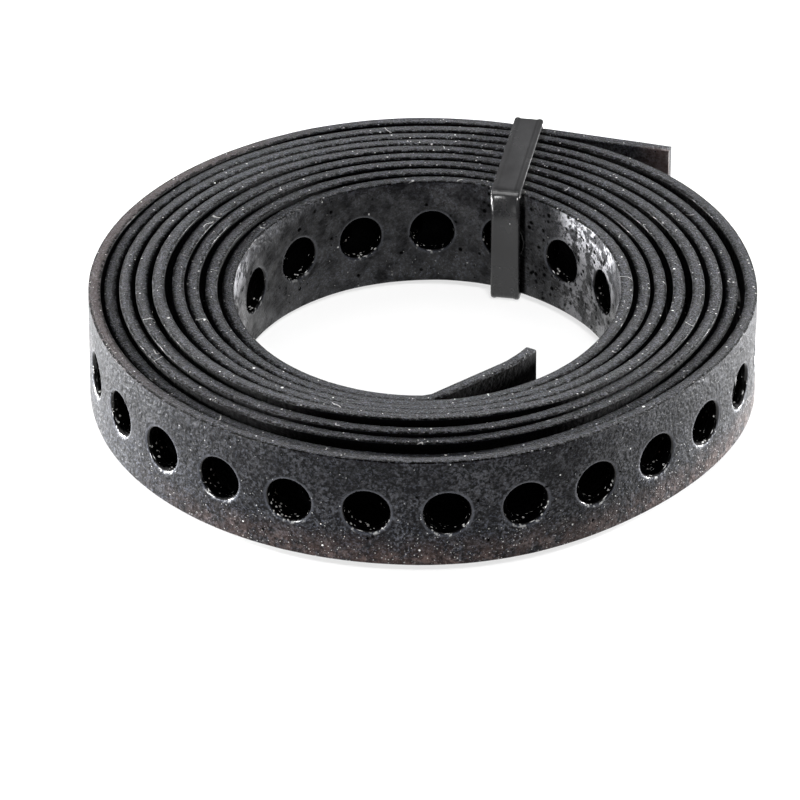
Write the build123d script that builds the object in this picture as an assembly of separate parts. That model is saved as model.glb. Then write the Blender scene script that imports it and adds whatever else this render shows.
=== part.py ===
from build123d import *
from bisect import bisect_right
from itertools import accumulate
from math import asin, cos, degrees, radians, sin, sqrt
import os

# Strap, as it is sold: a steel band in a black plastic coat, with one row of holes
strap_width = 19.0
strap_thickness = 2.05
hole_diameter = 7.2
hole_pitch = 12.5
first_hole = 13.5  # from the outer end to the middle of the first hole

# Holes are cut where they can be seen: in the outermost and the innermost turn and both ends.
# In the turns between, every hole faces only the strap beside it.
outer_hole_count = 28
inner_hole_count = 19
hole_sides = 10  # of all but the two holes at each end, which are true circles

# Winding, seen from above: it runs anticlockwise from its outer end inwards.
# Each side has its outer radius, and the gaps between its turns from the outside in.
turns = 9
back_radius = 54.7
back_gaps = [0.74, 0.3, 0.2, 0.2, 0.25, 0.36, 0.46, 0.36]
left_radius = 53.8
left_gaps = [0.53, 0.38, 0.58, 0.63, 1.09, 0.38, 0.88, 0.68]
front_radius = 54.7
front_gaps = [0.28, 1.04, 0.36, 1.25, 0.2, 0.2, 0.2, 0.25]
right_radius = 54.2
right_gaps = [1.1, 0.48, 0.73, 1.09, 0.98, 0.58, 0.73, 0.38]
quarter = 90  # degrees from one side to the next

# How much the winding bulges out between two sides, or lies flatter where it is below zero,
# for each quarter of a turn in order, the first one holding the outer end
bulges = [-0.25, -0.4, 0.2, -1.9, 1.0, 0, 0.2, -1.5, 0.6, 0, 0, -1.4, 0.3, 0, 0, -1.0]

# Free ends: the outer one leaves the coil straight, the inner one is kinked into the bore and
# flares a little more at its tip
tail_angle = 72.3
tail_length = 26.2
kink_angle = 270.0
kink_radius = 5.0
kink_turn = 38.0
flap_length = 13.0
flare_radius = 16.0
flare_turn = 22.0

# Arcs that the winding is drawn with
arc_span = 30.0  # degrees of winding for each arc
arcs_in_block = 6

# Cable tie round all the turns, drawn tight at the back
tie_width = 4.8
tie_thickness = 1.05
tie_bend = 0.4  # inner radius of its four bends, pressed onto the strap's edges
tie_clearance = 0.12
tie_direction = 80.0  # the way its top run points, seen from above
tie_offset = 8.8  # from the coil's middle to the tie's middle, along its width
head_length = 8.0
head_width = 7.4
head_depth = 4.6
head_corner = 1.0
stub_length = 1.2

tie_rise = tie_thickness + tie_clearance  # the strap lies this much above the floor


def winding_radius(angle):
    """Radius of the strap's middle at a winding angle, 0 to the right in the first turn."""
    sides = (
        (right_radius, right_gaps),
        (back_radius, back_gaps),
        (left_radius, left_gaps),
        (front_radius, front_gaps),
    )

    def at_side(number):
        radius, gaps = sides[number % 4]
        layer = (number - 1) // 4
        outside = sum(gaps[:layer]) if layer > 0 else 0
        return radius - layer * strap_thickness - outside - strap_thickness / 2

    side = int(angle // quarter)
    part = angle / quarter - side
    before, start, end, after = (at_side(side + step) for step in (-1, 0, 1, 2))
    # cubic through the four sides, level with its neighbours where two stretches meet
    slope_start = (end - before) / 2
    slope_end = (after - start) / 2
    bulge = bulges[side] * sin(radians(2 * angle)) ** 2 if side < len(bulges) else 0
    return (
        start * (2 * part**3 - 3 * part**2 + 1)
        + slope_start * (part**3 - 2 * part**2 + part)
        + end * (3 * part**2 - 2 * part**3)
        + slope_end * (part**3 - part**2)
        + bulge
    )


def winding_station(angle):
    """Middle of the strap and its outward direction at a winding angle."""
    step = 0.01
    radius = winding_radius(angle)
    slope = (winding_radius(angle + step) - winding_radius(angle - step)) / radians(2 * step)
    turn = radians(angle)
    along = Vector(slope * cos(turn) - radius * sin(turn), slope * sin(turn) + radius * cos(turn))
    outward = Vector(along.Y, -along.X).normalized()
    return Vector(radius * cos(turn), radius * sin(turn)), outward


def straight_stations(start, outward, distance):
    """Middle and end of a straight stretch that goes on from a station."""
    along = Vector(-outward.Y, outward.X)
    return [(start + along * (distance * share), outward) for share in (0.5, 1)]


def bend_stations(start, outward, radius, angle):
    """Middle and end of a bend that goes on from a station, towards the open middle."""
    centre = start - outward * radius
    turned = [outward.rotate(Axis.Z, angle * share) for share in (0.5, 1)]
    return [(centre + direction * radius, direction) for direction in turned]


def strap_stations():
    """Stations along the whole strap, from its outer end: ends and middles of arcs and lines."""
    wound = (turns - 1) * 360 + kink_angle - tail_angle
    arcs = round(wound / arc_span)
    step = wound / arcs / 2
    winding = [winding_station(tail_angle + step * number) for number in range(2 * arcs + 1)]

    point, outward = winding[0]
    tail = [straight_stations(point, outward, -tail_length * share)[1] for share in (1, 0.5)]

    kink = bend_stations(*winding[-1], kink_radius, kink_turn)
    flap = straight_stations(*kink[-1], flap_length)
    flare = bend_stations(*flap[-1], flare_radius, flare_turn)
    return tail + winding + kink + flap + flare


def run_edge(start, middle, end):
    """Line or arc through three points."""
    bend = (middle - start).cross(end - middle)
    return Line(start, end) if bend.length < 1e-6 else ThreePointArc(start, middle, end)


def side_edges(stations, shift):
    """Edges along the strap at a distance from its middle line."""
    points = [point + outward * shift for point, outward in stations]
    return [run_edge(*points[first:first + 3]) for first in range(0, len(points) - 2, 2)]


def strap_block(stations):
    """A plain stretch of strap standing on edge."""
    half = strap_thickness / 2
    outer = side_edges(stations, half)
    inner = side_edges(stations, -half)
    ends = [Line(outer[0] @ 0, inner[0] @ 0), Line(outer[-1] @ 1, inner[-1] @ 1)]
    outline = Face(Wire(outer + inner + ends))
    return Pos(0, 0, tie_rise) * extrude(outline, strap_width, dir=(0, 0, 1))


def hole_places(total):
    """Number and distance from the strap's outer end of each hole that is cut."""
    count = int((total - first_hole - hole_diameter / 2) // hole_pitch) + 1
    places = [(number, first_hole + hole_pitch * number) for number in range(count)]
    return places[:outer_hole_count] + places[count - inner_hole_count:], count


def hole_outline(number, count):
    """Outline of one hole: a circle at the strap's ends, with a few sides elsewhere."""
    if number < 2 or number >= count - 2:
        return Circle(hole_diameter / 2)
    return RegularPolygon(hole_diameter / 2, hole_sides)


def hole_tool(outline, middle_line, share):
    """Prism that cuts one hole through the strap."""
    spot = middle_line @ share
    along = middle_line % share
    outward = Vector(along.Y, -along.X)
    centre = Vector(spot.X, spot.Y, tie_rise + strap_width / 2)
    plane = Plane(centre, x_dir=(0, 0, 1), z_dir=outward)
    return extrude(plane * outline, strap_thickness, both=True)


def make_strap():
    """The whole strap: blocks of strap with their holes, joined end to end."""
    stations = strap_stations()
    middle_line = side_edges(stations, 0)
    reached = [0] + list(accumulate(edge.length for edge in middle_line))
    places, count = hole_places(reached[-1])

    blocks = []
    for first in range(0, len(middle_line), arcs_in_block):
        last = min(first + arcs_in_block, len(middle_line))
        tools = []
        for number, place in places:
            if reached[first] - hole_diameter < place < reached[last] + hole_diameter:
                arc = min(bisect_right(reached, place) - 1, len(middle_line) - 1)
                share = (place - reached[arc]) / middle_line[arc].length
                outline = hole_outline(number, count)
                tools.append(hole_tool(outline, middle_line[arc], share))
        blocks.append(strap_block(stations[2 * first:2 * last + 1]) - tools)
    print("strap length", round(reached[-1], 1), "pitches of hole", count)
    return Part() + blocks


def turn_reach(turn, side, offset):
    """How far one face of a turn reaches along the tie, on a line beside the coil's middle."""
    layer = turn - 1
    rough_radius = back_radius - layer * strap_thickness - sum(back_gaps[:layer])
    angle = tie_direction - degrees(asin(offset / rough_radius))
    point, outward = winding_station(max(angle + layer * 360, tail_angle))
    radius = (point + outward * (side * strap_thickness / 2)).length
    return sqrt(radius**2 - offset**2)


def tie_loop(outward_growth):
    """Rounded outline of the tie round the turns, grown by a distance."""
    edge_near = tie_offset - tie_width / 2
    edge_far = tie_offset + tie_width / 2
    near = turn_reach(turns, -1, edge_far) - tie_clearance
    far = turn_reach(1, 1, edge_near) + tie_clearance
    length = far - near + 2 * outward_growth
    height = strap_width + 2 * tie_clearance + 2 * outward_growth
    outline = RectangleRounded(length, height, tie_bend + outward_growth)
    middle = ((near + far) / 2, tie_rise + strap_width / 2)
    return Pos(*middle) * outline, far


def make_cable_tie():
    """Cable tie: a flat band with round bends and its head on the outside of the coil."""
    inside, far = tie_loop(0)
    outside, _ = tie_loop(tie_thickness)
    upright = Plane(origin=(0, 0, 0), x_dir=(1, 0, 0), z_dir=(0, -1, 0))
    band = extrude(upright * (outside - inside), tie_width / 2, both=True)
    middle_height = tie_rise + strap_width / 2
    head_middle = far + tie_thickness + head_depth / 2
    head = Pos(head_middle, 0, middle_height) * Box(head_depth, head_width, head_length)
    head = fillet(head.edges().filter_by(Axis.Z), head_corner)
    stub_middle = far + tie_thickness + head_depth * 0.45
    stub_height = middle_height + head_length / 2 + stub_length / 2
    stub = Pos(stub_middle, 0, stub_height) * Box(tie_thickness, tie_width, stub_length)
    tie = band + head + stub
    turned = Rot(0, 0, tie_direction) * Pos(0, -tie_offset, 0)
    return turned * tie


def write(parts):
    """Put the coil over the origin and write one file for each piece."""
    box = Compound(list(parts.values())).bounding_box()
    shift = Pos(-box.center().X, -box.center().Y, -box.min.Z)
    print("centre shift", round(-box.center().X, 3), round(-box.center().Y, 3))
    os.makedirs("parts", exist_ok=True)
    for name, part in parts.items():
        export_step(shift * part, f"parts/{name}.step")


write({"strap": make_strap(), "cable_tie": make_cable_tie()})
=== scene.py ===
from math import cos, pi, radians, sin
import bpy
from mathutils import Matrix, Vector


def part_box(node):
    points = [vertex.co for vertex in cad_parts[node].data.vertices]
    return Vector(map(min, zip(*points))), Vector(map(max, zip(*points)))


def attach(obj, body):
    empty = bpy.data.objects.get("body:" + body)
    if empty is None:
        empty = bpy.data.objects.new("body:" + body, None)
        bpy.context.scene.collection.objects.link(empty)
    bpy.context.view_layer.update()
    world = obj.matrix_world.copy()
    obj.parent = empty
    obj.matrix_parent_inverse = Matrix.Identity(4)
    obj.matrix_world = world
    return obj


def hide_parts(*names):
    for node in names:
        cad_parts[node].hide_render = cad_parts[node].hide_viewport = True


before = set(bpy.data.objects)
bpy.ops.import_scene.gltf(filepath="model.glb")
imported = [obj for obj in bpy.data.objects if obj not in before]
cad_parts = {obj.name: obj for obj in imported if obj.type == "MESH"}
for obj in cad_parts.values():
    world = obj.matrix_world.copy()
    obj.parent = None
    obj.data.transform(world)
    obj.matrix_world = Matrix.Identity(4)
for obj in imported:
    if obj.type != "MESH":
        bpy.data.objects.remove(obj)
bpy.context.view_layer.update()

from types import SimpleNamespace

import bmesh
import bpy
from mathutils import Matrix, Vector

bl_info = {
    "name": "Coiled Perforated Strap",
    "version": (1, 0, 0),
    "blender": (4, 5, 0),
    "location": "View3D > Sidebar > Strap",
    "description": "Builds a coil of coated, perforated steel strap with its cable tie",
    "category": "Add Mesh",
}

MM = 0.001
SAME = 0.001 * MM  # places no further apart than this are the same
MERGE_DISTANCE = 0.02 * MM  # between corners of neighbouring pieces that become one

# Winding of the strap seen from above, in millimetres and from its outer end inwards. Each side
# has its outer radius, the gaps between its turns, and how much each turn stands above or below
# its level.
TURNS = 9
RIGHT = (54.2, (1.1, 0.48, 0.73, 1.09, 0.98, 0.58, 0.73, 0.38),
         (0.0, -0.1, 0.2, 0.3, 0.2, 0.1, 0.1, 0.3, 0.7))
BACK = (54.7, (0.74, 0.3, 0.2, 0.2, 0.25, 0.36, 0.46, 0.36),
        (0.0, 0.0, 0.0, 0.1, 0.2, 0.1, 0.0, -0.2, -0.4))
LEFT = (53.8, (0.53, 0.38, 0.58, 0.63, 1.09, 0.38, 0.88, 0.68),
        (0.0, -0.2, 0.1, 0.3, 0.5, 0.2, 0.0, -0.3, -0.9))
FRONT = (54.7, (0.28, 1.04, 0.36, 1.25, 0.2, 0.2, 0.2, 0.25),
         (0.0, -0.9, 0.2, 0.6, 1.1, 0.55, 0.0, -0.6, -1.1))
SIDES = (RIGHT, BACK, LEFT, FRONT)
# How much it bulges out between two sides, for each quarter of a turn in order
BULGES = (-0.25, -0.4, 0.2, -1.9, 1.0, 0, 0.2, -1.5, 0.6, 0, 0, -1.4, 0.3, 0, 0, -1.0)
TAIL_ANGLE = 72.3  # degrees at which the straight outer end starts
TAIL_LENGTH = 26.2
KINK_ANGLE = 270.0  # degrees in the last turn at which the inner end bends into the middle
KINK_RADIUS = 5.0
KINK_TURN = 38.0
FLAP_LENGTH = 13.0
FLARE_RADIUS = 16.0
FLARE_TURN = 22.0
TIE_ANGLE = 68.0  # where the tie crosses the turns
TIE_HOLD = 35.0  # degrees either side of it over which it draws the turns level

# Cable tie, seen from above
TIE_DIRECTION = 80.0  # the way its top run points, in degrees
TIE_OFFSET = 8.8  # from the coil's middle to the tie's middle, along its width


# Settings

def length(name, description, millimetres):
    """A length that a user can change, in metres in the scene."""
    return bpy.props.FloatProperty(
        name=name, description=description, default=millimetres * MM, unit="LENGTH")


def colour(name, description, default):
    """A colour that a user can change."""
    return bpy.props.FloatVectorProperty(
        name=name, description=description, default=default, subtype="COLOR", size=3)


class StrapSettings(bpy.types.PropertyGroup):
    """Sizes and colours of the strap."""

    width: length("Width", "Height of the strap as it stands on edge", 19.0)
    thickness: length("Thickness", "Steel and both sides of its coat", 2.05)
    hole_diameter: length("Hole diameter", "Clear width of each hole", 7.2)
    hole_pitch: length("Hole pitch", "From one hole's middle to the next", 12.5)
    first_hole: length("First hole", "From the outer end to the middle of the first hole", 13.5)
    rim_radius: length("Rim rounding", "Rounding of the coat at the edge of a hole", 0.55)
    edge_radius: length("Edge rounding", "Rounding of the coat along the strap's edges", 0.3)
    burr: length("Burr", "How far the upper corner of the outer end stands out", 0.45)
    unevenness: length("Unevenness", "How far the coat's surface dips", 0.09)
    dip_size: length("Dip size", "Width of the dips in the coat's surface", 4.0)
    coat_colour: colour("Coat", "Colour of the plastic coat", (0.012, 0.0125, 0.0155))
    stain_colour: colour("Stain", "Colour of the brown bloom on the coat", (0.05, 0.032, 0.028))
    # also paints a highlight on the holes' rims
    scuff_and_highlight_colour: colour("Scuffs", "Colour of the paler flecks in the coat", (0.034, 0.038, 0.052))
    grit_colour: colour("Grit", "Colour of the grit along the edges", (0.16, 0.16, 0.165))
    # pale patches in the bore: wear, and on the bore's left a painted highlight
    worn_colour: colour("Worn", "Colour of the pale patches in the bore", (0.17, 0.17, 0.18))
    # also the colour of the painted glints in the holes and on the rims' lowest parts
    dust_colour: colour("Dust", "Colour of the specks and lint on the coat", (0.42, 0.42, 0.41))


class TieSettings(bpy.types.PropertyGroup):
    """Sizes and colours of the cable tie."""

    width: length("Width", "Width of the band", 4.8)
    thickness: length("Thickness", "Thickness of the band", 1.05)
    bend: length("Bend", "Inner radius of the band's four bends", 0.4)
    tooth_pitch: length("Tooth pitch", "From one tooth to the next on the inner side", 1.0)
    head_depth: length("Head depth", "How far the head stands off the band", 4.6)
    head_width: length("Head width", "Width of the head", 7.4)
    head_length: length("Head length", "Length of the head along the band", 8.0)
    stub_length: length("Cut end", "How far the cut end of the band stands out of the head", 1.15)
    nylon_colour: colour("Nylon", "Colour of the tie", (0.009, 0.009, 0.0095))
    dust_colour: colour("Dust", "Colour of the specks on the tie", (0.4, 0.4, 0.4))


class StageSettings(bpy.types.PropertyGroup):
    """Floor and camera."""

    camera_distance: length("Camera distance", "From the camera to the middle of the coil", 1250.0)
    camera_elevation: bpy.props.FloatProperty(
        name="Camera elevation", description="Height of the view above the horizon",
        default=radians(31.0), subtype="ANGLE")
    lens: bpy.props.FloatProperty(
        name="Lens", description="Focal length of the camera in millimetres", default=347.04)
    floor_reach: length("Floor", "From the middle of the floor to each of its sides", 2500.0)
    floor_colour: colour("Floor colour", "Colour of the floor", (0.92, 0.92, 0.92))


# Mesh helpers

def new_object(name, mesh):
    """An object at the origin, linked to the scene."""
    made = bpy.data.objects.new(name, mesh)
    bpy.context.scene.collection.objects.link(made)
    return made


def mesh_from(builder, name):
    """Mesh of a bmesh, with its doubles merged."""
    bmesh.ops.remove_doubles(builder, verts=builder.verts, dist=SAME)
    mesh = bpy.data.meshes.new(name)
    builder.to_mesh(mesh)
    builder.free()
    return mesh


def bridge(builder, first, second, closed):
    """Quads between two rows of vertices."""
    count = len(first) if closed else len(first) - 1
    for index in range(count):
        after = (index + 1) % len(first)
        builder.faces.new((first[index], first[after], second[after], second[index]))


def loft(builder, rows, closed=True):
    """Rows of vertices at their places, with quads from each row to the next."""
    made = [[builder.verts.new(place) for place in row] for row in rows]
    for first, second in zip(made, made[1:]):
        bridge(builder, first, second, closed)
    return made


# Node helpers

class Value:
    """Output of a node. A sign between it and another, or a number, adds a Math node.

    The bar gives the higher of two masks, and the tilde all but a mask.
    """

    def __init__(self, socket):
        self.socket = socket
        self.tree = socket.id_data

    def math(self, operation, *others):
        inputs = dict(enumerate((self, *others)))
        return get(self.tree, "ShaderNodeMath", inputs, operation=operation)

    def __add__(self, other):
        return self.math("ADD", other)

    def __sub__(self, other):
        return self.math("SUBTRACT", other)

    def __mul__(self, other):
        return self.math("MULTIPLY", other)

    def __truediv__(self, other):
        return self.math("DIVIDE", other)

    def __rtruediv__(self, other):
        return get(self.tree, "ShaderNodeMath", {0: other, 1: self}, operation="DIVIDE")

    def __mod__(self, other):
        return self.math("MODULO", other)

    def __or__(self, other):
        return self.math("MAXIMUM", other)

    def __invert__(self):
        return self.math("MULTIPLY_ADD", -1.0, 1.0)

    def __abs__(self):
        return self.math("ABSOLUTE")

    def vector(self, operation, *others):
        """Vector Math node."""
        inputs = dict(enumerate((self, *others)))
        output = 1 if operation == "DOT_PRODUCT" else 0
        return get(self.tree, "ShaderNodeVectorMath", inputs, output, operation=operation)

    def scaled(self, factor):
        return get(self.tree, "ShaderNodeVectorMath", {0: self, "Scale": factor}, operation="SCALE")

    def parts(self):
        """X, Y and Z of a vector."""
        return [Value(part) for part in put(self.tree, "ShaderNodeSeparateXYZ", {0: self}).outputs]


def put(tree, kind, inputs=None, **settings):
    """A node with its settings and inputs."""
    made = tree.nodes.new(kind)
    for name, value in settings.items():
        setattr(made, name, value)
    feed(made, inputs or {})
    return made


def feed(made, inputs):
    """Give a node's inputs their plain values and their links."""
    for label, value in inputs.items():
        if isinstance(value, Value):
            made.id_data.links.new(value.socket, made.inputs[label])
        else:
            made.inputs[label].default_value = value


def get(tree, kind, inputs=None, output=0, **settings):
    """One output of a new node."""
    return Value(put(tree, kind, inputs, **settings).outputs[output])


def new_tree(name, kind, inputs, outputs):
    """A node tree with named sockets, the values of its inputs, and its output node."""
    tree = bpy.data.node_groups.new(name, kind)
    for way, sockets in (("INPUT", inputs), ("OUTPUT", outputs)):
        for label, socket in sockets.items():
            tree.interface.new_socket(name=label, in_out=way, socket_type="NodeSocket" + socket)
    given = tree.nodes.new("NodeGroupInput").outputs
    return tree, {label: Value(given[label]) for label in inputs}, tree.nodes.new("NodeGroupOutput")


def grown(tree, name, values):
    """Plain mesh of a Geometry Nodes tree, with its inputs set by name.

    The objects among the inputs are removed.
    """
    seed = new_object(name + "_seed", bpy.data.meshes.new(name + "_seed"))
    modifier = seed.modifiers.new(name, "NODES")
    modifier.node_group = tree
    for item in tree.interface.items_tree:
        if item.in_out == "INPUT" and item.name in values:
            modifier[item.identifier] = values[item.name]
    evaluated = seed.evaluated_get(bpy.context.evaluated_depsgraph_get())
    mesh = bpy.data.meshes.new_from_object(evaluated)
    mesh.name = name
    seed.modifiers.remove(modifier)
    helpers = [value for value in values.values() if isinstance(value, bpy.types.Object)]
    for helper in [seed, *helpers]:
        bpy.data.objects.remove(helper)
    return mesh


def roll_group():
    """Group that bends a flat strip, which runs along X, onto a path."""
    tree, given, result = new_tree(
        "Roll onto path", "GeometryNodeTree",
        {"Strip": "Geometry", "Path": "Object", "Across": "Vector"}, {"Geometry": "Geometry"})
    place = get(tree, "GeometryNodeInputPosition")
    kept = get(tree, "GeometryNodeStoreNamedAttribute",
               {"Geometry": given["Strip"], "Name": "flat_place", "Value": place},
               data_type="FLOAT_VECTOR", domain="POINT")
    along, aside, up = place.parts()
    path = get(tree, "GeometryNodeObjectInfo", {"Object": given["Path"]}, "Geometry")
    curve = get(tree, "GeometryNodeMeshToCurve", {"Mesh": path})
    lift = get(tree, "GeometryNodeInputNamedAttribute", {"Name": "lift"}, data_type="FLOAT")
    sample = put(tree, "GeometryNodeSampleCurve", {"Curves": curve, "Value": lift, "Length": along},
                 data_type="FLOAT", mode="LENGTH").outputs
    across = given["Across"]
    outward = Value(sample["Tangent"]).vector("CROSS_PRODUCT", across).vector("NORMALIZE")
    moved = outward.scaled(aside).vector("ADD", across.scaled(up + Value(sample[0])))
    moved = moved.vector("ADD", Value(sample["Position"]))
    bent = get(tree, "GeometryNodeSetPosition", {"Geometry": kept, "Position": moved})
    feed(result, {"Geometry": get(tree, "GeometryNodeFlipFaces", {"Mesh": bent})})
    return tree


def row_tree(name, roll):
    """Tree that repeats a piece in a row, adds an end piece each side and rolls all onto a path."""
    tree, given, result = new_tree(name, "GeometryNodeTree", {
        "Unit": "Object", "Start": "Object", "End": "Object", "Path": "Object",
        "Count": "Int", "Spacing": "Float", "First": "Float", "Across": "Vector",
        "Dip": "Float", "Dip size": "Float", "Seed": "Int", "Material": "Material",
    }, {"Geometry": "Geometry"})
    first, spacing = (get(tree, "ShaderNodeCombineXYZ", {"X": given[label]})
                      for label in ("First", "Spacing"))
    row = get(tree, "GeometryNodeMeshLine",
              {"Count": given["Count"], "Start Location": first, "Offset": spacing})
    unit, start, end = (get(tree, "GeometryNodeObjectInfo", {"Object": given[label]}, "Geometry")
                        for label in ("Unit", "Start", "End"))
    copies = get(tree, "GeometryNodeInstanceOnPoints", {"Points": row, "Instance": unit})
    whole = put(tree, "GeometryNodeJoinGeometry")
    for piece in (copies, start, end):
        feed(whole, {0: piece})
    real = get(tree, "GeometryNodeRealizeInstances", {0: Value(whole.outputs[0])})
    joined = get(tree, "GeometryNodeMergeByDistance", {0: real, "Distance": MERGE_DISTANCE})
    rolled = get(tree, "GeometryNodeGroup", {
        "Strip": joined, "Path": given["Path"], "Across": given["Across"]}, node_tree=roll)

    place = get(tree, "GeometryNodeInputNamedAttribute", {"Name": "flat_place"},
                data_type="FLOAT_VECTOR")
    noise = get(tree, "ShaderNodeTexNoise", {
        "Vector": place, "W": given["Seed"], "Scale": 1 / given["Dip size"], "Detail": 3.0},
        noise_dimensions="4D")
    dip = get(tree, "GeometryNodeInputNormal").scaled(noise * given["Dip"] * -1.0)
    uneven = get(tree, "GeometryNodeSetPosition", {"Geometry": rolled, "Offset": dip})
    smooth = get(tree, "GeometryNodeSetShadeSmooth", {"Geometry": uneven})
    real = get(tree, "GeometryNodeRealizeInstances", {"Geometry": smooth})
    feed(result, {"Geometry": get(tree, "GeometryNodeSetMaterial", {
        "Geometry": real, "Material": given["Material"]})})
    return tree


# Winding

def winding_radius(angle):
    """Radius of the strap's middle at a winding angle, in millimetres."""
    thickness = bpy.context.scene.strap_settings.thickness / MM

    def at_side(number):
        radius, gaps, _ = SIDES[number % 4]
        layer = (number - 1) // 4
        outside = sum(gaps[:layer]) if layer > 0 else 0
        return radius - layer * thickness - outside - thickness / 2

    side = int(angle // 90)
    part = angle / 90 - side
    before, start, end, after = (at_side(side + step) for step in (-1, 0, 1, 2))
    slope_start = (end - before) / 2
    slope_end = (after - start) / 2
    bulge = BULGES[side] * sin(radians(2 * angle)) ** 2 if side < len(BULGES) else 0
    return (start * (2 * part**3 - 3 * part**2 + 1)
            + slope_start * (part**3 - 2 * part**2 + part)
            + end * (3 * part**2 - 2 * part**3)
            + slope_end * (part**3 - part**2)
            + bulge)


def winding_point(angle):
    """Place of the strap's middle at a winding angle, in millimetres from the coil's middle."""
    radius = winding_radius(angle)
    return Vector((radius * cos(radians(angle)), radius * sin(radians(angle)), 0))


def winding_lift(angle):
    """How far the strap stands off its level at a winding angle, in millimetres."""
    def at_side(number):
        lifts = SIDES[number % 4][2]
        return lifts[min(max((number - 1) // 4, 0), TURNS - 1)]

    side = int(angle // 90)
    share = ease(angle / 90 - side)
    level = at_side(side) * (1 - share) + at_side(side + 1) * share
    away = abs((angle - TIE_ANGLE + 180) % 360 - 180)
    return level * ease(min(away / TIE_HOLD, 1))


def ease(share):
    """Smooth step from 0 to 1."""
    return share * share * (3 - 2 * share)


def coil_middle():
    """Middle of the winding, on the level of the strap's middle line."""
    low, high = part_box("strap")
    half = bpy.context.scene.strap_settings.thickness / 2
    outermost = [winding_point(angle) * MM for angle in range(90, 360)]
    left = min(point.x for point in outermost) - half
    front = min(point.y for point in outermost) - half
    return Vector((low.x - left, low.y - front, (low.z + high.z) / 2))


WINDING_STEP = 1.5  # degrees between two points of the path
TAIL_POINTS = 8
BEND_POINTS = 8  # of each of the two bends at the inner end
FLAP_POINTS = 6


def bend_points(start, heading, radius, turn):
    """Points of a bend towards the coil's middle, and the direction in which it ends."""
    side = Vector((-heading.y, heading.x, 0))
    turns = [radians(turn) * step / BEND_POINTS for step in range(1, BEND_POINTS + 1)]
    points = [start + heading * (radius * sin(turned)) + side * (radius * (1 - cos(turned)))
              for turned in turns]
    return points, heading * cos(turns[-1]) + side * sin(turns[-1])


def strap_path():
    """Points of the strap's middle line and their lifts, from its outer end, in millimetres."""
    turned = (TURNS - 1) * 360 + KINK_ANGLE - TAIL_ANGLE
    count = round(turned / WINDING_STEP)
    angles = [TAIL_ANGLE + turned / count * number for number in range(count + 1)]
    wound = [winding_point(angle) for angle in angles]
    lifts = [winding_lift(angle) for angle in angles]

    back = (wound[0] - wound[1]).normalized()
    tail = [wound[0] + back * (TAIL_LENGTH * (TAIL_POINTS - share) / TAIL_POINTS)
            for share in range(TAIL_POINTS)]

    heading = (wound[-1] - wound[-2]).normalized()
    kink, heading = bend_points(wound[-1], heading, KINK_RADIUS, KINK_TURN)
    flap = [kink[-1] + heading * (FLAP_LENGTH * share / FLAP_POINTS)
            for share in range(1, FLAP_POINTS + 1)]
    flare, _ = bend_points(flap[-1], heading, FLARE_RADIUS, FLARE_TURN)
    free = kink + flap + flare
    settled = [lifts[-1] * (1 - ease(number / len(free))) for number in range(1, len(free) + 1)]
    return tail + wound + free, [0.0] * len(tail) + lifts + settled


def open_stretches(points):
    """How far in the outer face is free, and from where on the inner one is, in millimetres."""
    turn = round(360 / WINDING_STEP)
    outer = TAIL_POINTS + turn
    inner = len(points) - 2 * BEND_POINTS - FLAP_POINTS - turn
    return path_length(points[:outer + 1]) / MM, path_length(points[:inner + 1]) / MM


def path_object(name, points, lifts):
    """Chain of edges with a lift at each point, in metres."""
    edges = [(index, index + 1) for index in range(len(points) - 1)]
    mesh = bpy.data.meshes.new(name)
    mesh.from_pydata(points, edges, [])
    lift = mesh.attributes.new("lift", "FLOAT", "POINT")
    lift.data.foreach_set("value", lifts)
    return new_object(name, mesh)


def path_length(points):
    """Length along a chain of points."""
    return sum((second - first).length for first, second in zip(points, points[1:]))


# Strap

SIDE_STEPS = 7  # quads along each side of a hole's cell
ROUND_STEPS = 3  # quads across a rounded rim or edge
RIM_BORDER = 0.55 * MM  # flat ring round a hole's rim
TIP_ROUNDING = 0.2 * MM  # of the edges at both ends of the strap
TIP_STEPS = 2
END_STEPS = 3  # quads along a plain end
BURR_POWER = 4  # how steeply the burr rises towards the upper corner
NOISE_SEED = 7


def rounding(radius, steps):
    """Places on a quarter round, as distances from its two flats."""
    turns = [pi / 2 * step / steps for step in range(steps + 1)]
    return [(radius * (1 - sin(turn)), radius * (1 - cos(turn))) for turn in turns]


def strap_section(strap):
    """Outline of the strap's section, closed, as places across and up."""
    half = strap.thickness / 2
    high = strap.width / 2
    flat = high - strap.edge_radius
    rise = [(half, flat * (2 * step / SIDE_STEPS - 1)) for step in range(SIDE_STEPS + 1)]
    corner = [(half - out, high - up)
              for up, out in rounding(strap.edge_radius, ROUND_STEPS)][1:]
    top = corner + [(0, high)] + [(-across, up) for across, up in reversed(corner)]
    fall = [(-across, up) for across, up in reversed(rise)]
    bottom = [(-across, -up) for across, up in top]
    return rise + top + fall + bottom


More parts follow.
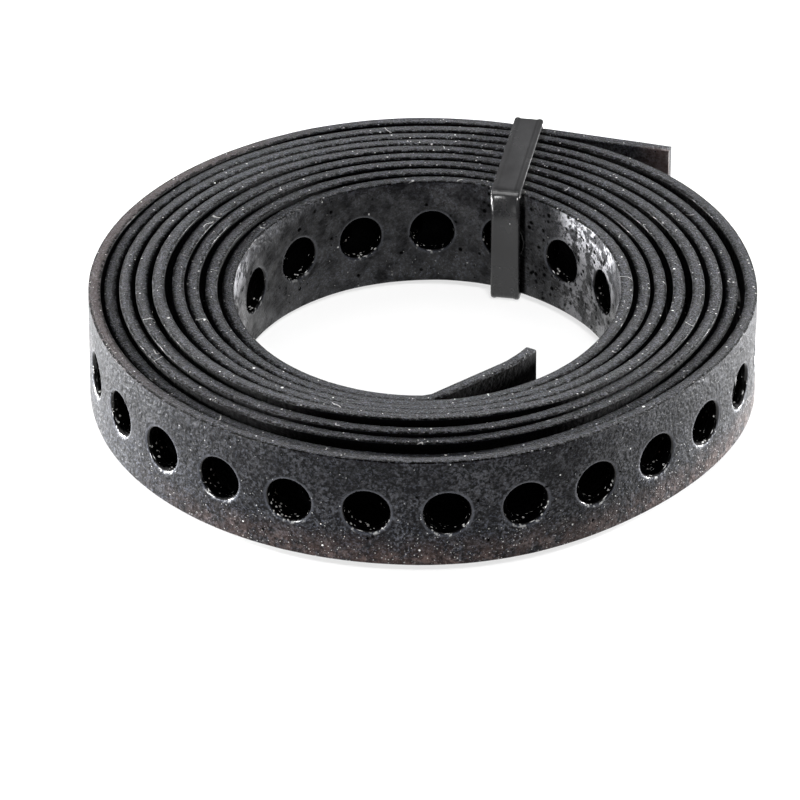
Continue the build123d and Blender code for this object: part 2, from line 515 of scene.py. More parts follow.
def hole_cell(strap):
    """One pitch of flat strap with its hole, rounded at the rims and the edges."""
    builder = bmesh.new()
    half = strap.thickness / 2
    flat = strap.width / 2 - strap.edge_radius
    reach = strap.hole_pitch / 2
    around = 4 * SIDE_STEPS
    radius = strap.hole_diameter / 2

    profile = [(radius + strap.rim_radius + RIM_BORDER, half)]
    profile += [(radius + outside, half - deep)
                for outside, deep in rounding(strap.rim_radius, ROUND_STEPS)]
    profile += [(radius, 0)] + [(wide, -across) for wide, across in reversed(profile)]
    turns = [2 * pi * (step - SIDE_STEPS / 2) / around for step in range(around)]
    rings = loft(builder, [[(wide * cos(turn), across, wide * sin(turn)) for turn in turns]
                           for wide, across in profile])

    share = [2 * step / SIDE_STEPS - 1 for step in range(SIDE_STEPS)]
    border = [(reach, flat * s) for s in share] + [(-reach * s, flat) for s in share]
    border += [(-reach, -flat * s) for s in share] + [(reach * s, -flat) for s in share]
    for ring, across in ((rings[0], half), (rings[-1], -half)):
        frame_ring = [builder.verts.new((along, across, up)) for along, up in border]
        bridge(builder, frame_ring, ring, closed=True)

    edge = [(across, up) for across, up in strap_section(strap) if up >= flat - SAME]
    steps = [reach * (2 * step / SIDE_STEPS - 1) for step in range(SIDE_STEPS + 1)]
    for sign in (1, -1):
        loft(builder, [[(along, across * sign, up * sign) for across, up in edge]
                       for along in steps], closed=False)
    bmesh.ops.remove_doubles(builder, verts=builder.verts, dist=SAME)
    face_outwards(builder)
    return mesh_from(builder, "hole_cell")


def face_outwards(builder):
    """Turn all faces the same way, with the outer side of the strip facing +Y."""
    bmesh.ops.recalc_face_normals(builder, faces=builder.faces)
    outer = max(builder.faces, key=lambda face: face.calc_center_median().y)
    if outer.normal.y < 0:
        bmesh.ops.reverse_faces(builder, faces=builder.faces)


def end_piece(name, section, joint, tip, burr=0.0):
    """Plain end of the strap from where the row stops to its tip, with the tip's edge rounded.

    A burr makes its upper corner stand out.
    """
    builder = bmesh.new()
    top = max(up for _, up in section)
    way = 1 if tip > joint else -1
    straight = tip - way * TIP_ROUNDING - joint
    stations = [(joint + straight * step / END_STEPS, 0.0) for step in range(END_STEPS + 1)]
    stations += [(tip - way * up, inset) for up, inset in rounding(TIP_ROUNDING, TIP_STEPS)[1:]]
    rows = []
    for along, inset in stations:
        lean = 0.0 if along == joint else way * burr
        rows.append([(along + lean * max(up / top, 0) ** BURR_POWER,
                      drawn_in(across, inset), drawn_in(up, inset)) for across, up in section])
    builder.faces.new(loft(builder, rows)[-1])
    face_outwards(builder)
    return mesh_from(builder, name)


def drawn_in(place, inset):
    """A place beside a middle line, brought nearer to it."""
    return max(abs(place) - inset, 0) * (1 if place > 0 else -1)


class STRAP_OT_strap(bpy.types.Operator):
    """Winds the perforated strap onto its spiral"""

    bl_idname = "strap.wind"
    bl_label = "Wind strap"

    def execute(self, context):
        strap = context.scene.strap_settings
        points, lifts = strap_path()
        middle = coil_middle()
        points = [middle + point * MM for point in points]
        total = path_length(points)
        count = int((total - strap.first_hole - strap.hole_diameter / 2) // strap.hole_pitch) + 1
        row_start = strap.first_hole - strap.hole_pitch / 2
        row_end = row_start + count * strap.hole_pitch

        section = strap_section(strap)
        outer_end = end_piece("outer_end", section, row_start, 0.0, strap.burr)
        inner_end = end_piece("inner_end", section, row_end, total)
        tree = row_tree("Wound strap", roll_group())
        mesh = grown(tree, "strap_coil", {
            "Path": path_object("strap_path", points, [lift * MM for lift in lifts]),
            "Unit": new_object("hole_cell", hole_cell(strap)),
            "Start": new_object("outer_end", outer_end),
            "End": new_object("inner_end", inner_end),
            "Count": count, "Spacing": strap.hole_pitch, "First": strap.first_hole,
            "Across": (0.0, 0.0, 1.0), "Dip": strap.unevenness,
            "Dip size": strap.dip_size, "Seed": NOISE_SEED,
            "Material": coat_material(strap, *open_stretches(points))})
        check_closed(mesh)
        piece = new_object("strap_coil", mesh)
        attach(piece, "root")
        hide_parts("strap")
        return {"FINISHED"}


def check_closed(mesh):
    """Stop if a mesh is open or turned inside out."""
    builder = bmesh.new()
    builder.from_mesh(mesh)
    open_edges = sum(1 for edge in builder.edges if not edge.is_manifold)
    volume = builder.calc_volume(signed=True)
    faces = len(builder.faces)
    builder.free()
    print(mesh.name, "faces", faces, "open edges", open_edges, "volume mm3", round(volume / MM**3))
    if open_edges or volume <= 0:
        raise RuntimeError(f"{mesh.name} is open or inside out")


# Cable tie

FOOT_HEIGHT = 2 * MM  # of the part of the band that it is measured by


def tie_frame():
    """Directions along and across the tie's top run, seen from above, and a point on its middle."""
    along = Vector((cos(radians(TIE_DIRECTION)), sin(radians(TIE_DIRECTION)), 0))
    across = Vector((-along.y, along.x, 0))
    return along, across, coil_middle() - across * (TIE_OFFSET * MM)


def tie_span():
    """Where the band starts and ends along the tie, from the coil's middle."""
    along = tie_frame()[0]
    middle = coil_middle()
    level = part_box("cable_tie")[0].z + FOOT_HEIGHT
    corners = [corner.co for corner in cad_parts["cable_tie"].data.vertices]
    reaches = [(place - middle).dot(along) for place in corners if place.z < level]
    return min(reaches), max(reaches)


TIE_BEND_STEPS = 12  # of each bend
RAIL_WIDTH = 0.65 * MM  # of the raised rails along the band's outer side
RAIL_SLOPE = 0.39 * MM
RAIL_RISE = 0.12 * MM
# Corners of the band's section, in millimetres: depth below the face and distance from the side
OUTER_CORNER = ((0, 0.45), (0.06, 0.22), (0.2, 0.06), (0.42, 0))
INNER_CORNER = ((0.3, 0), (0.1, 0.07), (0, 0.25))
TOOTH_DEPTH = 0.28 * MM
TOOTH_STEPS = 4
TOOTH_MARGIN = 0.54 * MM  # from the side of the band to its teeth


def tie_loop(tie):
    """Middle line of the band, once round the turns from the middle of its lower run."""
    along, across, start = tie_frame()
    near, far = tie_span()
    low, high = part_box("cable_tie")
    start.z = 0
    half = tie.thickness / 2
    bend = tie.bend + half
    ends = (near + half + bend, far - half - bend)
    levels = (low.z + half + bend, high.z - half - bend)
    # reach and level of each bend's middle, and where its quarter starts, in half turns
    corners = ((ends[1], levels[0], 1.5), (ends[1], levels[1], 2.0),
               (ends[0], levels[1], 0.5), (ends[0], levels[0], 1.0))
    points = [start + along * ((near + far) / 2) + Vector((0, 0, low.z + half))]
    for reach, level, quarter in corners:
        centre = start + along * reach + Vector((0, 0, level))
        for step in range(TIE_BEND_STEPS + 1):
            turn = pi * (quarter + step / TIE_BEND_STEPS / 2)
            points.append(centre + along * (bend * cos(turn)) + Vector((0, 0, bend * sin(turn))))
    return points + points[:1], -across


def tie_section(tie):
    """Outline of the band's section: slightly raised rails along its outer side."""
    half = tie.thickness / 2
    wide = tie.width / 2
    hollow = half - RAIL_RISE
    upper = [(hollow, 0), (hollow, wide - RAIL_WIDTH - RAIL_SLOPE), (half, wide - RAIL_WIDTH)]
    upper += [(half - deep * MM, wide - aside * MM) for deep, aside in OUTER_CORNER]
    upper += [(-half + deep * MM, wide - aside * MM) for deep, aside in INNER_CORNER]
    upper += [(-half, wide - RAIL_WIDTH), (-half, 0)]
    return upper + [(across, -up) for across, up in reversed(upper[1:-1])]


def tie_cell(tie, pitch):
    """One tooth's length of flat band, with the tooth on its inner side."""
    builder = bmesh.new()
    inner_face = -tie.thickness / 2 + SAME
    toothed = tie.width / 2 - TOOTH_MARGIN
    rows = []
    for step in range(TOOTH_STEPS + 1):
        share = step / TOOTH_STEPS
        cut = TOOTH_DEPTH * share if step < TOOTH_STEPS else 0.0
        rows.append([(pitch * (share - 0.5),
                      across + (cut if across < inner_face and abs(up) < toothed else 0.0), up)
                     for across, up in tie_section(tie)])
    loft(builder, rows)
    face_outwards(builder)
    return mesh_from(builder, "tie_cell")


class STRAP_OT_tie_band(bpy.types.Operator):
    """Draws the cable tie's toothed band round the turns"""

    bl_idname = "strap.tie_band"
    bl_label = "Tie band"

    def execute(self, context):
        tie = context.scene.tie_settings
        points, across = tie_loop(tie)
        total = path_length(points)
        count = round(total / tie.tooth_pitch)
        pitch = total / count
        tree = row_tree("Wound tie", bpy.data.node_groups["Roll onto path"])
        mesh = grown(tree, "tie_band", {
            "Path": path_object("tie_path", points, [0.0] * len(points)),
            "Unit": new_object("tie_cell", tie_cell(tie, pitch)),
            "Count": count, "Spacing": pitch, "First": pitch / 2, "Across": tuple(across),
            "Dip": 0.0, "Material": tie_material(tie)})
        builder = bmesh.new()
        builder.from_mesh(mesh)
        bmesh.ops.remove_doubles(builder, verts=builder.verts, dist=MERGE_DISTANCE)
        builder.to_mesh(mesh)
        builder.free()
        check_closed(mesh)
        piece = new_object("tie_band", mesh)
        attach(piece, "root")
        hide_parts("cable_tie")
        return {"FINISHED"}


HEAD_CORNER = 1.0 * MM  # of the head's upright edges
HEAD_ROUNDING = 0.5 * MM  # of its top and bottom edges
CORNER_STEPS = 4
SLOT_SHARE = 0.45  # of the head's depth at which the band's end passes through
SLOT_FLARE = 0.3  # of the head's rounding, by which the slot opens at both ends
SLOT_ROOM = (0.35 * MM, 0.3 * MM)  # round the band's end, through its thickness and its width
SLOT_CORNER = 0.2 * MM
WINDOW = (1.9 * MM, 1.7 * MM)  # half width and half height of the recess in the far side
WINDOW_STEPS = ((0.12 * MM, -0.12 * MM), (0.05 * MM, -0.7 * MM))  # its chamfer and its wall
HEAD_SINK = 0.05 * MM  # how far the head sits in the band
CUT_SLANT = 0.25 * MM  # of the band's cut end
CUT_CHAMFER = 0.12 * MM


def tie_head_mesh(tie):
    """Head of the tie: a rounded block with the slot that the band's end passes through.

    X points away from the coil, Y lies along the head's width and Z is up.
    """
    builder = bmesh.new()
    depth, wide, high = tie.head_depth, tie.head_width / 2, tie.head_length / 2
    middle = depth * SLOT_SHARE
    slot_half = tie.thickness / 2 + SLOT_ROOM[0]
    slot_wide = tie.width / 2 + SLOT_ROOM[1]

    ends = [(up - high, inset) for inset, up in rounding(HEAD_ROUNDING, 3)]
    levels = ends + [(-WINDOW[1], 0.0), (WINDOW[1], 0.0)] + [(-up, inset) for up, inset in ends[::-1]]
    outlines = (((0.0, depth, wide, HEAD_CORNER), 1.0),
                ((middle - slot_half, middle + slot_half, slot_wide, SLOT_CORNER), -SLOT_FLARE))
    outer_rows, inner_rows = (
        loft(builder, [[(x, y, level) for x, y in rounded_outline(*outline, inset * way)]
                       for level, inset in levels]) for outline, way in outlines)
    for end in (0, -1):
        bridge(builder, outer_rows[end], inner_rows[end], closed=True)
    bmesh.ops.recalc_face_normals(builder, faces=builder.faces)

    recess = []
    for face in builder.faces:
        centre = face.calc_center_median()
        if (face.normal.x > 0.99 and centre.x > depth * 0.9
                and abs(centre.y) < WINDOW[0] and abs(centre.z) < WINDOW[1] / 2):
            recess.append(face)
    for inset, deep in WINDOW_STEPS:
        bmesh.ops.inset_region(builder, faces=recess, thickness=inset, depth=deep)

    add_cut_end(builder, tie, middle, high)
    bmesh.ops.recalc_face_normals(builder, faces=builder.faces)
    return mesh_from(builder, "tie_head")


def add_cut_end(builder, tie, middle, high):
    """The band's end in the slot, cut off at a slant above the head."""
    tip = high + tie.stub_length
    rows = []
    for level, inset in ((-high * 0.9, 0.1 * MM), (-high * 0.8, 0.0), (tip - 0.15 * MM, 0.0),
                         (tip, CUT_CHAMFER)):
        across = tie.thickness / 2 - inset
        along = tie.width / 2 - inset
        slant = CUT_SLANT if level > high else 0.0
        rows.append([(middle + x * across, y * along, level - slant * (1 + y) / 2)
                     for x, y in ((-1, -1), (1, -1), (1, 1), (-1, 1))])
    rows = loft(builder, rows)
    for row in (rows[0], rows[-1]):
        builder.faces.new(row)


def rounded_outline(near, far, wide, corner, inset):
    """Rectangle with round corners, and with points at both sides of the recess."""
    near, far, wide = near + inset, far - inset, wide - inset
    points = []
    for x, y, quarter in ((far - corner, wide - corner, 0), (near + corner, wide - corner, 1),
                          (near + corner, corner - wide, 2), (far - corner, corner - wide, 3)):
        for step in range(CORNER_STEPS + 1):
            turn = pi / 2 * (quarter + step / CORNER_STEPS)
            points.append((x + corner * cos(turn), y + corner * sin(turn)))
    return points + [(far, -WINDOW[0]), (far, WINDOW[0])]


class STRAP_OT_tie_head(bpy.types.Operator):
    """Puts the cable tie's head on the outside of the coil, with the cut end of the band"""

    bl_idname = "strap.tie_head"
    bl_label = "Tie head"

    def execute(self, context):
        tie = context.scene.tie_settings
        along, _, middle = tie_frame()
        place = middle + along * (tie_span()[1] - HEAD_SINK)
        mesh = tie_head_mesh(tie)
        turn = Matrix.Rotation(radians(TIE_DIRECTION), 4, "Z")
        mesh.transform(Matrix.Translation(place) @ turn)
        mesh.materials.append(bpy.data.materials["black_nylon"])
        check_closed(mesh)
        piece = new_object("tie_head", mesh)
        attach(piece, "root")
        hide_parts("cable_tie")
        return {"FINISHED"}


# Masks, and shader groups, whose places and sizes are all in millimetres

def fade(value, start, end):
    """Smooth mask that is 0 at one value and 1 at another."""
    return get(value.tree, "ShaderNodeMapRange", {"Value": value, "From Min": start, "From Max": end},
               interpolation_type="SMOOTHSTEP")


def band(value, rise_from, rise_to, fall_from, fall_to):
    """Smooth mask of a stretch between two values."""
    return fade(value, rise_from, rise_to) * fade(value, fall_to, fall_from)


def blend(mask, first, second):
    """Number that goes from one to another with a mask."""
    return get(mask.tree, "ShaderNodeMix", {0: mask, 2: first, 3: second}, data_type="FLOAT")


def paint(mask, under, colour):
    """Colour laid over another where a mask is."""
    return get(mask.tree, "ShaderNodeMix", {0: mask, 6: under, 7: (*colour, 1)}, 2, data_type="RGBA")


def noise_of(place, size, detail=2.0, roughness=0.5):
    """Noise with patches of a size."""
    return get(place.tree, "ShaderNodeTexNoise", {
        "Vector": place, "Scale": 1 / size, "Detail": detail, "Roughness": roughness})


def patches(place, size, detail, roughness, low, high):
    """Mask of soft-edged patches, which fades in between two levels of the noise."""
    return fade(noise_of(place, size, detail, roughness), low, high)


def shader_group(name, inputs, outputs=("Mask",)):
    """Shader group for a surface's effect: its place, its numbers and its output node."""
    sockets = {"Place": "Vector", **{label: "Float" for label in inputs}}
    _, given, result = new_tree(
        name, "ShaderNodeTree", sockets, {label: "Float" for label in outputs})
    return given.values(), result


def dipped_group():
    """Group for a dipped or moulded surface: slow waves and fine grain, as one height."""
    (place, wave_size, wave_depth, grain_size, grain_depth), result = shader_group(
        "Dipped surface", ("Wave size", "Wave depth", "Grain size", "Grain depth"),
        ("Height", "Patches"))
    waves = noise_of(place, wave_size, 1.0) * wave_depth
    grain = noise_of(place, grain_size, 3.0, 0.6) * grain_depth
    feed(result, {"Height": waves + grain,
                  "Patches": patches(place, wave_size * 4.0, 4.0, 0.65, 0.35, 0.65)})


def speck_group():
    """Group for specks of dust or small pits: uneven dots in some of the cells."""
    (place, spacing, size, share), result = shader_group("Specks", ("Spacing", "Size", "Share"))
    ragged = get(place.tree, "ShaderNodeTexNoise", {"Vector": place, "Scale": 5.0 / spacing}, 1)
    cells = put(place.tree, "ShaderNodeTexVoronoi", {
        "Vector": place.vector("ADD", ragged.scaled(size)), "Scale": 1 / spacing}).outputs
    chance = put(place.tree, "ShaderNodeSeparateColor", {"Color": Value(cells["Color"])}).outputs
    reach = size * (Value(chance[1]) * 0.7 + 0.3)
    dot = fade(Value(cells["Distance"]) * spacing, reach, reach * 0.6)
    feed(result, {"Mask": dot * Value(chance[0]).math("LESS_THAN", share)})


def fibre_group():
    """Group for lint: thin curved threads, here and there."""
    (place, curl, width, share), result = shader_group("Lint", ("Curl", "Width", "Share"))
    away = abs(noise_of(place, curl, 1.0) - 0.5) * curl
    thread = fade(away, width, width * 0.4)
    moved = place.vector("ADD", (31.0, 17.0, 9.0))
    limit = ~share
    feed(result, {"Mask": thread * fade(noise_of(moved, curl * 1.3), limit, limit + 0.02)})


def scratch_group():
    """Group for fine scratches along the X of a place."""
    (place, length, width), result = shader_group("Scratches", ("Length", "Width"))
    along, across, up = place.parts()
    drawn = get(place.tree, "ShaderNodeCombineXYZ", {
        0: along / length, 1: across / width, 2: (along * 0.12 + up) / width})
    feed(result, {"Mask": patches(drawn, 1.0, 3.0, 0.5, 0.5, 0.72)})


def use_group(name, **inputs):
    """Values of a shader group placed in a material, with its own inputs."""
    made = put(inputs["place"].tree, "ShaderNodeGroup", node_tree=bpy.data.node_groups[name])
    feed(made, {label.replace("_", " ").capitalize(): value for label, value in inputs.items()})
    return [Value(output) for output in made.outputs]


def specks(place, spacing, size, share):
    """Mask of specks, with a share of the cells filled."""
    return use_group("Specks", place=place, spacing=spacing, size=size, share=share)[0]


# Materials

def plain_surface(name):
    """A new material and its Principled shader."""
    material = bpy.data.materials.new(name)
    material.use_nodes = True
    return material, material.node_tree.nodes["Principled BSDF"]


# Patches in the coat: size in millimetres, the noise's detail and roughness, and the two levels
# of the noise between which a patch fades in
CLUSTER = (2.4, 2.0, 0.5, 0.36, 0.62)
BROKEN = (0.8, 2.0, 0.5, 0.54, 0.6)
RAGGED = (0.7, 3.0, 0.7, 0.42, 0.52)
MOTTLE = (0.6, 3.0, 0.75, 0.42, 0.62)
FLECK = (0.3, 2.0, 0.7, 0.52, 0.70)
GRIT = (0.4, 2.0, 0.7, 0.58, 0.74)
PALE_PATCHES = (2.2, 4.0, 0.7, 0.45, 0.56)
STAIN = (2.0, 4.0, 0.7, 0.3, 0.62)

# Stretches along the strap, in millimetres from its outer end: where each starts, is full,
# still is full and ends
FRONT_STRETCH = (150.0, 190.0, 290.0, 340.0)
BROWN_STRETCH = (55.0, 85.0, 140.0, 175.0)  # of the outermost turn's upper edge
PITTED_STRETCH = (2176.0, 2192.0, 2222.0, 2234.0)
# pale patches in the bore: wear on the first stretch, a painted highlight on the bore's left on the
# second
WEAR_AND_HIGHLIGHT_STRETCHES = ((2193.0, 2199.0, 2210.0, 2216.0), (2277.0, 2283.0, 2294.0, 2300.0))
LIP_SHADE_FROM = (14.0, 26.0)  # the tail's lips get no painted shade
TAIL_SHADE = (8.0, 22.0)  # the tail's inner face is in the open before this
TAIL_STAIN = (7.0, 0.5)  # brown on the inner face of the tail's tip
TIE_SHADE = (1.9, 2.3, 3.0, 3.7)  # from the tie's middle to its right

# Heights from the strap's middle line
RIM_FOOT = (-2.6, -3.4)  # where the lowest part of a hole's rim starts and is full
LOW_SIDE = (1.2, 3.4)  # how far down a hole's wall starts to glint and does so fully

# Specks: spacing and size in millimetres
FINE_DUST = (0.5, 0.21)
COARSE_DUST = (1.9, 0.27)
HOLE_GLINTS = (0.6, 0.3)
PITS = (0.85, 0.5)
TIE_DUST = (1.6, 0.16)

PITTED_DEPTH = 0.9  # from the strap's middle inwards to where its pits are in full
# colour of the pits and of the painted shade in holes, between turns and beside the tie
BLACK = (0.0008, 0.0008, 0.0009)
# colour of the painted shade along the lips
LIP_SHADE_BLACK = (0.001, 0.001, 0.001)
DARK_SHARE = 0.15  # of the coat's colour, in its dark mottles
COAT_SHEEN = {"Coat Roughness": 0.16, "Coat IOR": 1.35, "Specular IOR Level": 0.11}


def coat_places(strap, place, free_outside, free_inside):
    """Masks of where a spot lies on the strap, from its place on the flat strip."""
    along, across, up = place.parts()
    high = strap.width / 2 / MM
    thick = strap.thickness / 2 / MM
    on = SimpleNamespace()
    on.edge = fade(abs(up), high - 0.3, high - 0.1)
    on.face = ~on.edge
    on.lip = on.edge * fade(abs(across), thick * 0.3, thick * 0.8)
    on.lower = fade(up, high * 0.3, -high * 0.7)
    on.foot = fade(up, -high * 0.35, -high * 0.9)
    on.outside = fade(across, 0.0, thick * 0.8)
    on.inside = fade(across, 0.0, -thick * 0.8)
    on.front = on.outside * band(along, *FRONT_STRETCH)
    # painted shade: the outer face past its free stretch and the inner face before its free one, past
    # the tail's open part, lie against the next turn
    covered = on.outside * fade(along, free_outside - 4, free_outside + 2)
    covered |= on.inside * fade(along, free_inside + 2, free_inside - 4) * fade(along, *TAIL_SHADE)
    on.covered = on.face * covered
    on.pitted = fade(across, 0.0, -PITTED_DEPTH) * band(along, *PITTED_STRETCH)
    on.worn = band(along, *WEAR_AND_HIGHLIGHT_STRETCHES[0]) | band(along, *WEAR_AND_HIGHLIGHT_STRETCHES[1])
    on.turns = fade(along, *LIP_SHADE_FROM)
    on.tail = on.inside * fade(along, *TAIL_STAIN)
    on.brown_edge = on.edge * band(along, *BROWN_STRETCH)
    on.hole, on.rim, on.low_side = hole_masks(strap, along, up)
    on.rim_foot = on.rim * fade(up, *RIM_FOOT)
    on.tie_shade = beside_tie(place.tree)
    return on


def hole_masks(strap, along, up):
    """Masks of the holes' walls, of the rims round them and of the low side, which glints."""
    pitch = strap.hole_pitch / MM
    radius = strap.hole_diameter / 2 / MM
    turn = (along - (strap.first_hole / MM - pitch / 2) + pitch) % pitch - pitch / 2
    away = (turn * turn + up * up).math("SQRT")
    return (fade(away, radius + 0.3, radius + 0.1), fade(away, radius + 0.8, radius + 0.35),
            fade(abs(turn) * 0.6 - up, *LOW_SIDE))


def beside_tie(tree):
    """Mask of the strip in the tie's shade, to its right."""
    along, across, middle = tie_frame()
    place = get(tree, "ShaderNodeTexCoord", output="Object").vector("SUBTRACT", tuple(middle))
    aside = place.vector("DOT_PRODUCT", tuple(-across)) / MM
    behind = fade(place.vector("DOT_PRODUCT", tuple(along)), 0.0, 0.01)
    return band(aside, *TIE_SHADE) * behind


def coat_dust_and_painted_glints(place, on):
    """Mask of the dust, specks and lint on the coat, and of painted glints on the rims and in the
    holes.
    """
    dusty = blend(on.edge, on.front, 1.0)
    share = blend(on.edge, blend(on.lower, 0.08, 0.6), 0.13) * (dusty * 0.85 + 0.15)
    share *= patches(place, *CLUSTER) | on.foot * 0.8
    fine = specks(place, *FINE_DUST, share)
    share = blend(on.foot * on.front, 0.12, 0.4)
    coarse = specks(place, *COARSE_DUST, share)
    lint = use_group("Lint", place=place, curl=4.0, width=0.05, share=0.33)[0]
    # painted highlight: broken pale marks along the lowest part of each rim
    painted_rim_glint = on.rim_foot * patches(place, *BROKEN) * 0.4
    dust_and_painted_glints = (fine * 0.7 | coarse | lint * on.edge * 0.5 | painted_rim_glint) * ~(on.covered | on.hole)
    # painted glints: pale specks on the low side of the holes' walls
    glint = specks(place, *HOLE_GLINTS, 0.45)
    return dust_and_painted_glints | glint * on.hole * on.low_side * 0.8


def coat_layers(strap, place, on, broad, mottle):
    """Masks and colours of what lies over the coat's own colour, from the lowest to the highest."""
    fleck = patches(place, *FLECK) * blend(on.edge, blend(on.lower, 0.4, 1.0), 1.0)
    fleck *= blend(on.inside * on.face, 1.0, broad)
    grit = on.edge * patches(place, *GRIT) * 0.4
    stain = on.foot * on.front * patches(place, *STAIN) * (mottle * 0.7 + 0.5)
    stain |= on.tail * 0.5 | on.brown_edge * 0.3
    # pale patches on the bore's wall: wear, and on the bore's left a painted highlight
    worn = on.inside * on.face * (on.worn | 0.06) * patches(place, *PALE_PATCHES)
    # the scuff colour also goes on the rims: a painted highlight on their rounding
    return ((fleck | on.rim * 0.4, strap.scuff_and_highlight_colour), (grit, strap.grit_colour),
            (stain, strap.stain_colour), (worn, strap.worn_colour))


def coat_material(strap, free_outside, free_inside):
    """Black plastic coat: dipped, scuffed and dusty, matt and grainy along its edges.

    Painted shade makes it darkest where it lies against the next turn, in holes and along lips.
    """
    material, surface = plain_surface("black_coat")
    flat = get(material.node_tree, "ShaderNodeAttribute", output="Vector", attribute_name="flat_place")
    place = flat.scaled(1 / MM)
    on = coat_places(strap, place, free_outside, free_inside)
    height, broad = use_group("Dipped surface", place=place, wave_size=0.85, wave_depth=0.24,
                              grain_size=0.3, grain_depth=blend(on.edge, 0.12, 0.55))
    scratch = use_group("Scratches", place=place, length=5.0, width=0.22)[0]
    share = on.pitted * 0.6 + blend(on.inside, 0.015, 0.08)
    pit = specks(place, *PITS, share)
    pit *= on.face
    dust_and_painted_glints = coat_dust_and_painted_glints(place, on)
    # painted shade: ragged dark patches along the lips, where the gaps between turns lie in shade
    lip_shade = on.lip * patches(place, *RAGGED) * on.turns
    # pits, and painted shade: near black on the holes' walls, on faces against the next turn and in
    # the tie's shade
    black = pit | on.hole | on.covered * 0.95 | on.tie_shade
    mottle = patches(place, *MOTTLE) * (broad * 0.75 + 0.25)

    coat = tuple(strap.coat_colour)
    colour = paint(mottle, (*(DARK_SHARE * level for level in coat), 1), coat)
    for mask, layer in coat_layers(strap, place, on, broad, mottle):
        colour = paint(mask, colour, layer)
    # the dust colour paints the dust, specks and lint, and also the painted glints in the holes and on
    # the rims
    for mask, layer in ((black, BLACK), (lip_shade, LIP_SHADE_BLACK), (dust_and_painted_glints, strap.dust_colour)):
        colour = paint(mask, colour, layer)

    dull = dust_and_painted_glints | pit | on.covered | lip_shade
    gloss = blend(on.inside, mottle * 0.85 + 0.1, broad * 0.75 + 0.1)
    gloss = blend(on.hole | on.rim, blend(on.edge, gloss, 0.03), 1.0)
    rough = blend(on.edge, broad * 0.12 + 0.46 + scratch * 0.1, 0.66)
    for mask, rise in ((scratch, -0.02), (pit, -0.3), (lip_shade, -0.3), (dust_and_painted_glints, 0.06)):
        height += mask * rise
    feed(surface, {
        "Base Color": colour,
        # a metal of black colour hardly shines, which keeps the pits and the painted shade in gaps,
        # holes, beside the tie and along the lips dark
        "Metallic": (black | lip_shade | ~mottle * on.face * ~dust_and_painted_glints * 0.6 | on.edge * 0.3) * ~dust_and_painted_glints,
        "Coat Weight": gloss * ~dull,
        "Roughness": blend(dull | on.hole, rough, 0.9),
        "Normal": relief(height),
        **COAT_SHEEN})
    return material


def relief(height):
    """Normal of a surface with a height in millimetres."""
    return get(height.tree, "ShaderNodeBump", {"Height": height, "Distance": MM, "Strength": 1.0})


PALE_NYLON = 1.6  # brightness of its paler patches
CROWN_FROM = 13.5  # height above which the upright runs of the tie lean over to its top run
CROWN_CURVE = 0.02


def tie_material(tie):
    """Black nylon: smooth and glossy, with a few specks."""
    material, surface = plain_surface("black_nylon")
    place = get(material.node_tree, "ShaderNodeTexCoord", output="Object").scaled(1 / MM)
    height, broad = use_group("Dipped surface", place=place, wave_size=2.2, wave_depth=0.05,
                              grain_size=0.5, grain_depth=0.006)
    dust = specks(place, *TIE_DUST, 0.12)
    nylon = tuple(tie.nylon_colour)
    colour = paint(broad, (*nylon, 1), [PALE_NYLON * level for level in nylon])
    rise = (place.parts()[2] - CROWN_FROM) | 0.0
    feed(surface, {
        "Base Color": paint(dust, colour, tie.dust_colour),
        "Roughness": blend(dust, broad * 0.08 + 0.2, 0.8),
        "Normal": relief(height + rise * rise * rise * (-CROWN_CURVE / 3)),
        "Specular IOR Level": 0.5})
    return material


FLOOR_GLOW = 0.7  # share of plain white in what the camera and mirrors see of the floor


def floor_material(stage):
    """White floor that keeps the coil's shadow and otherwise shows white to the camera."""
    material = bpy.data.materials.new("white_floor")
    material.use_nodes = True
    tree = material.node_tree
    tree.nodes.clear()
    lit = get(tree, "ShaderNodeBsdfDiffuse", {"Color": (*stage.floor_colour, 1)})
    white = get(tree, "ShaderNodeEmission", {"Color": (1, 1, 1, 1), "Strength": 1.0})
    seen = seen_by(tree, "Camera", "Glossy") * FLOOR_GLOW
    put(tree, "ShaderNodeOutputMaterial", {
        "Surface": get(tree, "ShaderNodeMixShader", {0: seen, 1: lit, 2: white})})
    return material


def seen_by(tree, first, second):
    """Mask of what rays of either kind hit."""
    path = put(tree, "ShaderNodeLightPath").outputs
    return Value(path[f"Is {first} Ray"]) | Value(path[f"Is {second} Ray"])


# Stage

PHOTO_PIXELS = 800
# Lamps: place in metres, width in metres and power in watts
LAMPS = {
    "lamp_left": ((-0.9, 0.4, 0.11), 0.2, 90.0),
    "lamp_left_front": ((-0.8, -0.56, 0.11), 0.2, 13.0),
    "lamp_left_back": ((-0.6, 0.77, 0.11), 0.2, 8.0),
    "lamp_right": ((0.86, 0.53, 0.11), 0.2, 85.0),
    "lamp_back": ((-0.1, 0.38, 0.85), 0.5, 3.0),
    "lamp_high": ((0.1, -0.5, 0.85), 0.3, 9.0),
}
LAMP_AIM = (0, 0, 0.01)
# Strength of the surroundings in front of the coil and behind it, and where it changes over
SURROUNDINGS = {"From Min": -0.7, "From Max": 0.1, "To Min": 0.08, "To Max": 0.41}
AIM_PIXEL = (391.9, 330.0)  # where the photograph shows the point that the camera is placed from
AIM_POINT = (-4.77, 1.263, 0)  # that point, in millimetres from the coil's middle


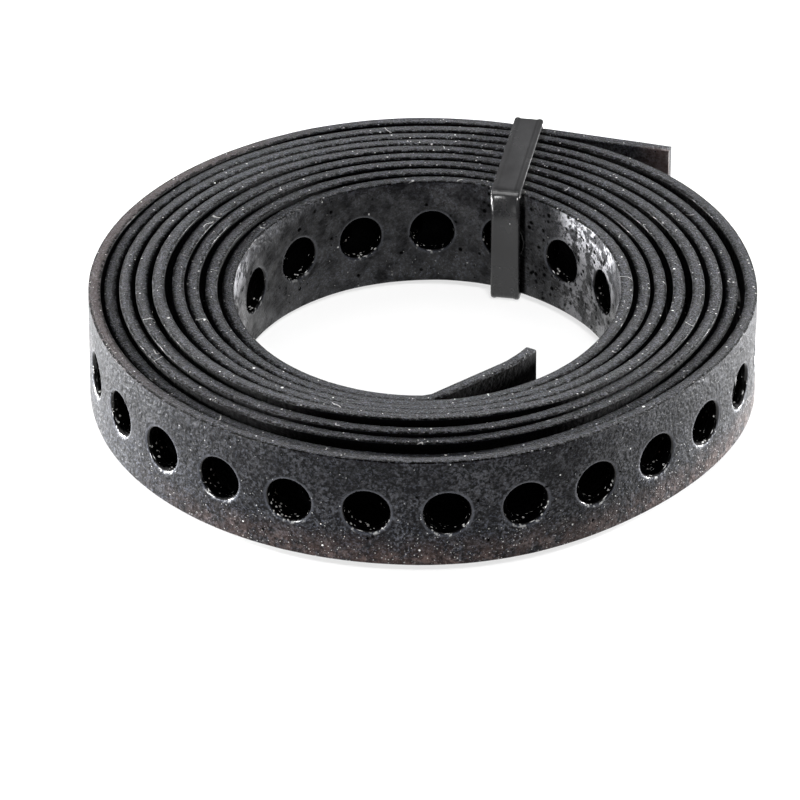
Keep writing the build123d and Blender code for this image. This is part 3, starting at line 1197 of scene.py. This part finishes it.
def add_camera(stage):
    """Camera at the photograph's angle, turned so that the coil stands where it does there."""
    lens = bpy.data.cameras.new("camera")
    lens.lens = stage.lens
    lens.clip_start = 0.05
    lens.clip_end = 20.0
    camera = new_object("camera", lens)
    target = coil_middle() + Vector(AIM_POINT) * MM
    tilt = stage.camera_elevation
    back = Vector((0, -cos(tilt), sin(tilt)))
    upward = Vector((0, sin(tilt), cos(tilt)))
    camera.location = target + back * stage.camera_distance
    pixel = stage.camera_distance * lens.sensor_width / lens.lens / PHOTO_PIXELS
    right = (AIM_PIXEL[0] - PHOTO_PIXELS / 2) * pixel
    raised = (PHOTO_PIXELS / 2 - AIM_PIXEL[1]) * pixel
    aim = target - Vector((right, 0, 0)) - upward * raised
    camera.rotation_mode = "QUATERNION"
    camera.rotation_quaternion = (aim - camera.location).to_track_quat("-Z", "Y")
    bpy.context.scene.camera = camera


def add_area(name, place, size, strength):
    """Round soft lamp turned to the coil."""
    lamp = bpy.data.lights.new(name, "AREA")
    lamp.shape = "DISK"
    lamp.size = size
    lamp.energy = strength
    made = new_object(name, lamp)
    made.location = place
    made.rotation_mode = "QUATERNION"
    made.rotation_quaternion = (Vector(LAMP_AIM) - made.location).to_track_quat("-Z", "Y")


def make_surroundings():
    """World that the camera sees as white, and that lights the coil mostly from behind."""
    world = bpy.data.worlds.new("surroundings")
    world.use_nodes = True
    tree = world.node_tree
    tree.nodes.clear()
    way = get(tree, "ShaderNodeTexCoord", output="Generated").parts()
    level = get(tree, "ShaderNodeMapRange", {"Value": way[1], **SURROUNDINGS},
                interpolation_type="SMOOTHSTEP")
    level |= seen_by(tree, "Camera", "Transmission")
    sky = get(tree, "ShaderNodeBackground", {"Color": (1, 1, 1, 1), "Strength": level})
    put(tree, "ShaderNodeOutputWorld", {"Surface": sky})
    return world


class STRAP_OT_stage(bpy.types.Operator):
    """Sets up the floor, the soft lamps, the white surroundings and the camera"""

    bl_idname = "strap.stage"
    bl_label = "Stage"

    def execute(self, context):
        stage = context.scene.stage_settings
        mesh = bpy.data.meshes.new("floor")
        reach = stage.floor_reach
        corners = [(-reach, -reach, 0), (reach, -reach, 0), (reach, reach, 0), (-reach, reach, 0)]
        mesh.from_pydata(corners, [], [(0, 1, 2, 3)])
        mesh.materials.append(floor_material(stage))
        floor = new_object("floor", mesh)
        context.scene.world = make_surroundings()
        for name, (place, size, strength) in LAMPS.items():
            add_area(name, place, size, strength)
        add_camera(stage)
        context.scene.view_settings.view_transform = "Standard"
        return {"FINISHED"}


class STRAP_PT_panel(bpy.types.Panel):
    """Lists the steps that build the coil"""

    bl_idname = "STRAP_PT_panel"
    bl_label = "Coiled strap"
    bl_space_type = "VIEW_3D"
    bl_region_type = "UI"
    bl_category = "Strap"

    def draw(self, context):
        for operator in OPERATORS:
            self.layout.operator(operator.bl_idname)
        for name, group in GROUPS.items():
            settings = getattr(context.scene, name)
            for field in group.__annotations__:
                self.layout.prop(settings, field)


GROUPS = {
    "strap_settings": StrapSettings,
    "tie_settings": TieSettings,
    "stage_settings": StageSettings,
}
OPERATORS = (STRAP_OT_strap, STRAP_OT_tie_band, STRAP_OT_tie_head, STRAP_OT_stage)


def register():
    for group in GROUPS.values():
        bpy.utils.register_class(group)
    for name, group in GROUPS.items():
        setattr(bpy.types.Scene, name, bpy.props.PointerProperty(type=group))
    for operator in OPERATORS:
        bpy.utils.register_class(operator)
    bpy.utils.register_class(STRAP_PT_panel)


def unregister():
    bpy.utils.unregister_class(STRAP_PT_panel)
    for operator in reversed(OPERATORS):
        bpy.utils.unregister_class(operator)
    for name in GROUPS:
        delattr(bpy.types.Scene, name)
    for group in reversed(GROUPS.values()):
        bpy.utils.unregister_class(group)


def main():
    """Build every piece and the stage."""
    register()
    for make_group in (dipped_group, speck_group, fibre_group, scratch_group):
        make_group()
    bpy.ops.strap.wind()
    bpy.ops.strap.tie_band()
    bpy.ops.strap.tie_head()
    bpy.ops.strap.stage()


if __name__ == "__main__":
    main()
